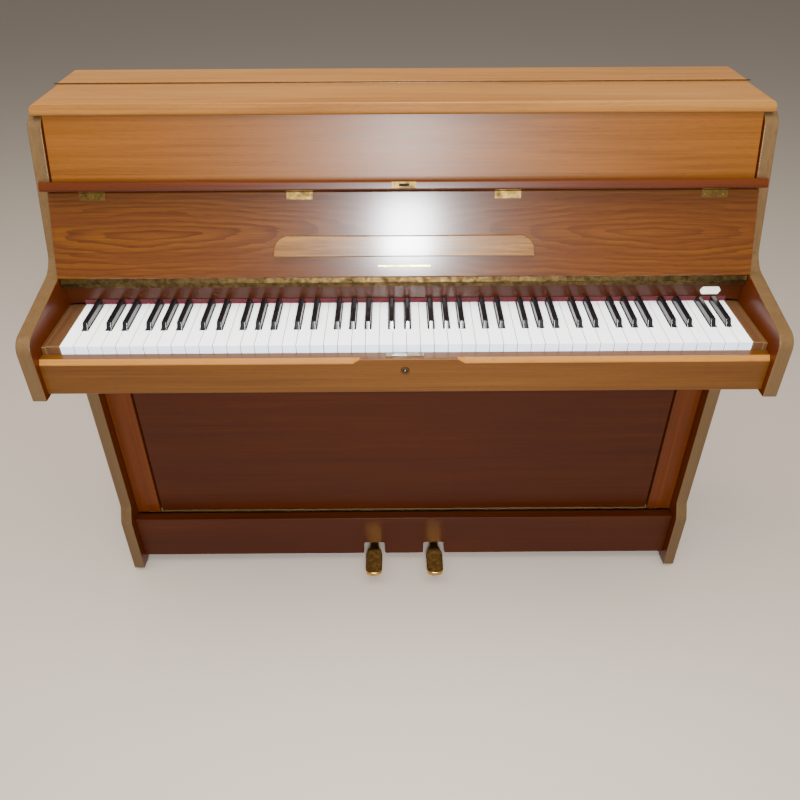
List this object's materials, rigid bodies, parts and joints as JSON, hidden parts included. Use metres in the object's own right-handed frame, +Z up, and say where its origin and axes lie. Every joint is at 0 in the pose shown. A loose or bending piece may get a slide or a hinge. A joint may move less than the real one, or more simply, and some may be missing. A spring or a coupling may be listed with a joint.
{
  "type": "upright piano",
  "caption": "Slant-front upright piano in satin wood veneer with an open folding fall, folded music ledge, full keyboard and two pedals.",
  "frame": {"origin": "on the floor, under the middle of the outer box", "axes": "+Z up, +X to the player's right, the player sits at -Y"},
  "size_m": [1.28, 0.49, 1.051],
  "materials": {
    "case_veneer": "satin lacquered mid-brown veneer",
    "fall_veneer": "satin lacquered veneer with strong straight grain",
    "dark_veneer": "satin lacquered red-brown veneer",
    "lower_veneer": "satin lacquered dark red-brown veneer",
    "ledge_veneer": "satin lacquered light walnut",
    "softwood": "planed softwood",
    "soundboard_spruce": "varnished spruce",
    "action_wood": "planed beech",
    "white_key_plastic": "polished",
    "black_key_plastic": "polished",
    "felt": "dark red wool felt",
    "brass": "lightly tarnished",
    "gilded_iron": "bronze-painted casting",
    "steel": "plain",
    "rubber": "moulded tread"
  },
  "bodies": {
    "case": {"left_end": "case_veneer", "right_end": "case_veneer", "lid_rear": "case_veneer", "upper_front_panel": "case_veneer", "key_slip": "case_veneer", "nameboard": "dark_veneer", "left_key_block": "dark_veneer", "right_key_block": "dark_veneer", "left_pilaster": "lower_veneer", "right_pilaster": "lower_veneer", "toe_rail": "lower_veneer", "bottom_board": "softwood", "key_bed": "softwood", "back_frame": "softwood", "soundboard": "soundboard_spruce", "wrest_plank": "action_wood", "bass_bridge": "action_wood", "treble_bridge": "action_wood", "key_frame": "action_wood", "action_frame": "action_wood", "nameboard_felt": "felt", "fall_hinge": "brass", "lock_plate": "brass", "iron_frame": "gilded_iron", "bass_strings": "steel", "treble_strings": "steel", "left_castor_fork": "steel", "right_castor_fork": "steel", "left_glide": "steel", "right_glide": "steel"},
    "fall": {"fallboard": "fall_veneer"},
    "fall_lip": {"fallboard_lip": "dark_veneer", "strike_plate": "brass"},
    "ledge": {"music_ledge": "ledge_veneer"},
    "lid": {"lid_front": "case_veneer"},
    "lower_panel": {"lower_front_panel": "lower_veneer"},
    "soft_pedal": {"left_pedal": "brass"},
    "sustain_pedal": {"right_pedal": "brass"},
    "soft_rod": {"left_pedal_rod": "softwood"},
    "sustain_rod": {"right_pedal_rod": "softwood"},
    "hammers": {"hammer_bank": "action_wood"},
    "dampers": {"damper_bank": "felt"},
    "left_wheel": {"left_castor_wheel": "rubber"},
    "right_wheel": {"right_castor_wheel": "rubber"},
    "bass_whites": {"bass_white_keys": "white_key_plastic"},
    "bass_blacks": {"bass_black_keys": "black_key_plastic"},
    "treble_whites": {"treble_white_keys": "white_key_plastic"},
    "treble_blacks": {"treble_black_keys": "black_key_plastic"},
    "key_c4": {"key_c4": "white_key_plastic"},
    "key_c_sharp4": {"key_c_sharp4": "black_key_plastic"},
    "key_d4": {"key_d4": "white_key_plastic"},
    "key_d_sharp4": {"key_d_sharp4": "black_key_plastic"},
    "key_e4": {"key_e4": "white_key_plastic"},
    "key_f4": {"key_f4": "white_key_plastic"},
    "key_f_sharp4": {"key_f_sharp4": "black_key_plastic"},
    "key_g4": {"key_g4": "white_key_plastic"},
    "key_g_sharp4": {"key_g_sharp4": "black_key_plastic"},
    "key_a4": {"key_a4": "white_key_plastic"},
    "key_a_sharp4": {"key_a_sharp4": "black_key_plastic"},
    "key_b4": {"key_b4": "white_key_plastic"}
  },
  "joints": [
    {"name": "fall_hinge", "type": "hinge", "parent": "case", "child": "fall", "pos_m": [0, -0.0735, 0.763], "axis": [1, 0, 0], "range_deg": [0, 116.6]},
    {"name": "lip_fold", "type": "hinge", "parent": "fall", "child": "fall_lip", "pos_m": [0, -0.02799, 0.91523], "axis": [-1, 0, 0], "range_deg": [-88, 0]},
    {"name": "ledge_fold", "type": "hinge", "parent": "fall", "child": "ledge", "pos_m": [0, -0.07028, 0.81136], "axis": [-1, 0, 0], "range_deg": [-88, 0]},
    {"name": "lid_hinge", "type": "hinge", "parent": "case", "child": "lid", "pos_m": [0, 0.1475, 1.0513], "axis": [-1, 0, 0], "range_deg": [0, 175]},
    {"name": "panel_tilt", "type": "hinge", "parent": "case", "child": "lower_panel", "pos_m": [0, -0.024, 0.149], "axis": [1, 0, 0], "range_deg": [0, 20]},
    {"name": "soft_pedal_press", "type": "hinge", "parent": "case", "child": "soft_pedal", "pos_m": [-0.07, 0.047, 0.05], "axis": [1, 0, 0], "range_deg": [0, 6.4], "stiffness_Nm_per_rad": 8, "springref_deg": -17.19},
    {"name": "soft_rod_lift", "type": "slide", "parent": "case", "child": "soft_rod", "axis": [0, 0, 1], "range_m": [0, 0.009]},
    {"name": "sustain_pedal_press", "type": "hinge", "parent": "case", "child": "sustain_pedal", "pos_m": [0.07, 0.047, 0.05], "axis": [1, 0, 0], "range_deg": [0, 6.4], "stiffness_Nm_per_rad": 8, "springref_deg": -17.19},
    {"name": "sustain_rod_lift", "type": "slide", "parent": "case", "child": "sustain_rod", "axis": [0, 0, 1], "range_m": [0, 0.009]},
    {"name": "hammer_rest_shift", "type": "hinge", "parent": "case", "child": "hammers", "pos_m": [0, 0.067, 0.765], "axis": [-1, 0, 0], "range_deg": [0, 4]},
    {"name": "damper_lift", "type": "hinge", "parent": "case", "child": "dampers", "pos_m": [0, 0.121, 0.787], "axis": [1, 0, 0], "range_deg": [0, 4]},
    {"name": "left_wheel_spin", "type": "hinge", "parent": "case", "child": "left_wheel", "pos_m": [-0.5557, 0.2145, 0.02], "axis": [1, 0, 0], "continuous": true},
    {"name": "right_wheel_spin", "type": "hinge", "parent": "case", "child": "right_wheel", "pos_m": [0.5557, 0.2145, 0.02], "axis": [1, 0, 0], "continuous": true},
    {"name": "bass_whites_press", "type": "hinge", "parent": "case", "child": "bass_whites", "pos_m": [0, 0.002, 0.693], "axis": [1, 0, 0], "range_deg": [0, 2.6], "stiffness_Nm_per_rad": 23, "springref_deg": -9.17},
    {"name": "bass_blacks_press", "type": "hinge", "parent": "case", "child": "bass_blacks", "pos_m": [0, 0.002, 0.693], "axis": [1, 0, 0], "range_deg": [0, 2.6], "stiffness_Nm_per_rad": 16, "springref_deg": -9.17},
    {"name": "key_c4_press", "type": "hinge", "parent": "case", "child": "key_c4", "pos_m": [0, 0.002, 0.693], "axis": [1, 0, 0], "range_deg": [0, 2.6], "stiffness_Nm_per_rad": 1, "springref_deg": -9.17},
    {"name": "key_c_sharp4_press", "type": "hinge", "parent": "case", "child": "key_c_sharp4", "pos_m": [0, 0.002, 0.693], "axis": [1, 0, 0], "range_deg": [0, 2.6], "stiffness_Nm_per_rad": 1, "springref_deg": -9.17},
    {"name": "key_d4_press", "type": "hinge", "parent": "case", "child": "key_d4", "pos_m": [0, 0.002, 0.693], "axis": [1, 0, 0], "range_deg": [0, 2.6], "stiffness_Nm_per_rad": 1, "springref_deg": -9.17},
    {"name": "key_d_sharp4_press", "type": "hinge", "parent": "case", "child": "key_d_sharp4", "pos_m": [0, 0.002, 0.693], "axis": [1, 0, 0], "range_deg": [0, 2.6], "stiffness_Nm_per_rad": 1, "springref_deg": -9.17},
    {"name": "key_e4_press", "type": "hinge", "parent": "case", "child": "key_e4", "pos_m": [0, 0.002, 0.693], "axis": [1, 0, 0], "range_deg": [0, 2.6], "stiffness_Nm_per_rad": 1, "springref_deg": -9.17},
    {"name": "key_f4_press", "type": "hinge", "parent": "case", "child": "key_f4", "pos_m": [0, 0.002, 0.693], "axis": [1, 0, 0], "range_deg": [0, 2.6], "stiffness_Nm_per_rad": 1, "springref_deg": -9.17},
    {"name": "key_f_sharp4_press", "type": "hinge", "parent": "case", "child": "key_f_sharp4", "pos_m": [0, 0.002, 0.693], "axis": [1, 0, 0], "range_deg": [0, 2.6], "stiffness_Nm_per_rad": 1, "springref_deg": -9.17},
    {"name": "key_g4_press", "type": "hinge", "parent": "case", "child": "key_g4", "pos_m": [0, 0.002, 0.693], "axis": [1, 0, 0], "range_deg": [0, 2.6], "stiffness_Nm_per_rad": 1, "springref_deg": -9.17},
    {"name": "key_g_sharp4_press", "type": "hinge", "parent": "case", "child": "key_g_sharp4", "pos_m": [0, 0.002, 0.693], "axis": [1, 0, 0], "range_deg": [0, 2.6], "stiffness_Nm_per_rad": 1, "springref_deg": -9.17},
    {"name": "key_a4_press", "type": "hinge", "parent": "case", "child": "key_a4", "pos_m": [0, 0.002, 0.693], "axis": [1, 0, 0], "range_deg": [0, 2.6], "stiffness_Nm_per_rad": 1, "springref_deg": -9.17},
    {"name": "key_a_sharp4_press", "type": "hinge", "parent": "case", "child": "key_a_sharp4", "pos_m": [0, 0.002, 0.693], "axis": [1, 0, 0], "range_deg": [0, 2.6], "stiffness_Nm_per_rad": 1, "springref_deg": -9.17},
    {"name": "key_b4_press", "type": "hinge", "parent": "case", "child": "key_b4", "pos_m": [0, 0.002, 0.693], "axis": [1, 0, 0], "range_deg": [0, 2.6], "stiffness_Nm_per_rad": 1, "springref_deg": -9.17},
    {"name": "treble_whites_press", "type": "hinge", "parent": "case", "child": "treble_whites", "pos_m": [0, 0.002, 0.693], "axis": [1, 0, 0], "range_deg": [0, 2.6], "stiffness_Nm_per_rad": 20, "springref_deg": -9.17},
    {"name": "treble_blacks_press", "type": "hinge", "parent": "case", "child": "treble_blacks", "pos_m": [0, 0.002, 0.693], "axis": [1, 0, 0], "range_deg": [0, 2.6], "stiffness_Nm_per_rad": 14, "springref_deg": -9.17}
  ],
  "couplings": [
    {"joint": "soft_rod_lift", "follows": "soft_pedal_press", "m_per_rad": 0.078},
    {"joint": "sustain_rod_lift", "follows": "sustain_pedal_press", "m_per_rad": 0.078},
    {"joint": "hammer_rest_shift", "follows": "soft_pedal_press", "ratio": 0.6},
    {"joint": "damper_lift", "follows": "sustain_pedal_press", "ratio": 0.6}
  ]
}
